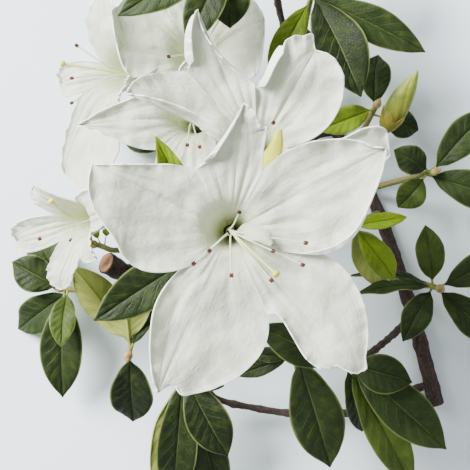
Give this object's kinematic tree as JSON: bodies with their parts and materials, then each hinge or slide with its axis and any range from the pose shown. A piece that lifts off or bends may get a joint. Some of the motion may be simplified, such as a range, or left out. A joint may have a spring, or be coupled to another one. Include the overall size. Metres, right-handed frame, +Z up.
{
  "type": "cut flowering azalea branch",
  "caption": "Cut branch of a white-flowered evergreen azalea, with open funnel blooms, leafy twigs and a bud, lying down.",
  "frame": {"origin": "middle of the underside of the branch's bounding box, on the surface it lies on", "axes": "+Z up, the way the blooms face; +Y along the branch from its cut end to its tip; +X towards the side of the main stem"},
  "size_m": [0.1772, 0.2236, 0.0827],
  "materials": {
    "bark": "matt, finely fissured purple-brown bark",
    "leaf": "dark green, satin above with pale midribs and margins, pale olive beneath",
    "petal": "soft white with a fine crumpled grain and a faint green throat",
    "stamen": "pale filaments with rust-brown anthers and a yellow-green style",
    "green_stalk": "downy yellow-green",
    "bud": "satin yellow-green with orange-brown scales at its foot"
  },
  "bodies": {
    "root": {"main_stem": "bark", "flower_twig": "bark", "left_twig": "bark", "lower_twig": "bark", "right_twig": "bark", "top_twig": "bark", "corolla_front": "petal", "stamens_front": "stamen", "stalk_front": "green_stalk", "corolla_upper": "petal", "stamens_upper": "stamen", "stalk_upper": "green_stalk", "corolla_inner": "petal", "stamens_inner": "stamen", "stalk_inner": "green_stalk", "corolla_top": "petal", "stamens_top": "stamen", "stalk_top": "green_stalk", "corolla_upper_left": "petal", "stamens_upper_left": "stamen", "stalk_upper_left": "green_stalk", "corolla_left": "petal", "stamens_left": "stamen", "stalk_left": "green_stalk", "leaves_under": "leaf", "leaves_truss": "leaf", "leaves_lower_left": "leaf", "leaves_left_edge": "leaf", "leaves_lower_middle": "leaf", "leaves_middle": "leaf", "leaves_right_lower": "leaf", "leaves_right_middle": "leaf", "leaves_right_edge": "leaf", "leaves_right_upper": "leaf", "leaves_behind": "leaf", "leaves_top_right": "leaf", "leaves_top": "leaf", "leaves_sprout": "leaf", "flower_bud": "bud", "pruned_stub": "bark"}
  },
  "joints": []
}
